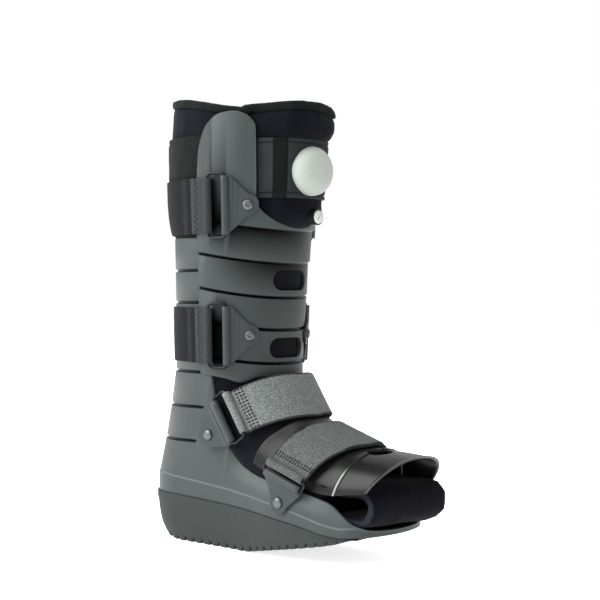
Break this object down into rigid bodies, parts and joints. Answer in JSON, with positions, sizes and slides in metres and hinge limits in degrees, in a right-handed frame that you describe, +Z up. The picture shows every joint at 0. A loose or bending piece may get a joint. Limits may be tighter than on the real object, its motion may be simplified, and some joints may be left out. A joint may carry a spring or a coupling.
{
  "type": "medical walking boot",
  "caption": "Tall walking boot with a padded liner, plastic shells, ring-and-tab straps, a squeeze bulb and a rocker sole.",
  "frame": {"origin": "on the ground under the axis of the leg, on the flat part of the tread", "axes": "+X towards the toes, +Y towards the inner side of a right foot, +Z up the leg"},
  "size_m": [0.3126, 0.1478, 0.4345],
  "materials": {
    "shell": "moulded grey-green plastic with a fine grain",
    "sole": "firm dark grey-green rubber",
    "liner_cloth": "navy-black padded knit",
    "binding": "black edge binding",
    "loop_pile": "dark brushed loop pile",
    "webbing": "grey woven webbing",
    "ring_wire": "dark plated wire",
    "rivet": "dull domed rivet",
    "tab": "moulded grey-green plastic",
    "cover": "semi-gloss flexible plastic sheet",
    "bulb": "pale grey rubber, matt",
    "valve": "black plastic",
    "cap": "white plastic"
  },
  "bodies": {
    "root": {"outsole": "sole", "rear_shell": "shell", "front_shell": "shell", "liner": "liner_cloth", "liner_rim": "binding", "front_flap": "liner_cloth", "flap_rim": "binding", "calf_band": "loop_pile", "pump_bulb": "bulb", "valve_ring": "valve", "valve_cap": "cap", "toe_cover": "cover", "toe_wrap": "liner_cloth", "upper_strap": "loop_pile", "lower_strap": "loop_pile", "ankle_strap": "webbing", "fore_strap": "webbing", "upper_ring_outer": "ring_wire", "upper_tab_outer": "tab", "upper_rivet_outer": "rivet", "upper_ring_inner": "ring_wire", "upper_tab_inner": "tab", "upper_rivet_inner": "rivet", "lower_ring_outer": "ring_wire", "lower_tab_outer": "tab", "lower_rivet_outer": "rivet", "lower_ring_inner": "ring_wire", "lower_tab_inner": "tab", "lower_rivet_inner": "rivet", "ankle_ring_outer": "ring_wire", "ankle_tab_outer": "tab", "ankle_rivet_outer": "rivet", "ankle_ring_inner": "ring_wire", "ankle_tab_inner": "tab", "ankle_rivet_inner": "rivet", "fore_ring_outer": "ring_wire", "fore_tab_outer": "tab", "fore_rivet_outer": "rivet", "fore_ring_inner": "ring_wire", "fore_tab_inner": "tab", "fore_rivet_inner": "rivet"}
  },
  "joints": []
}
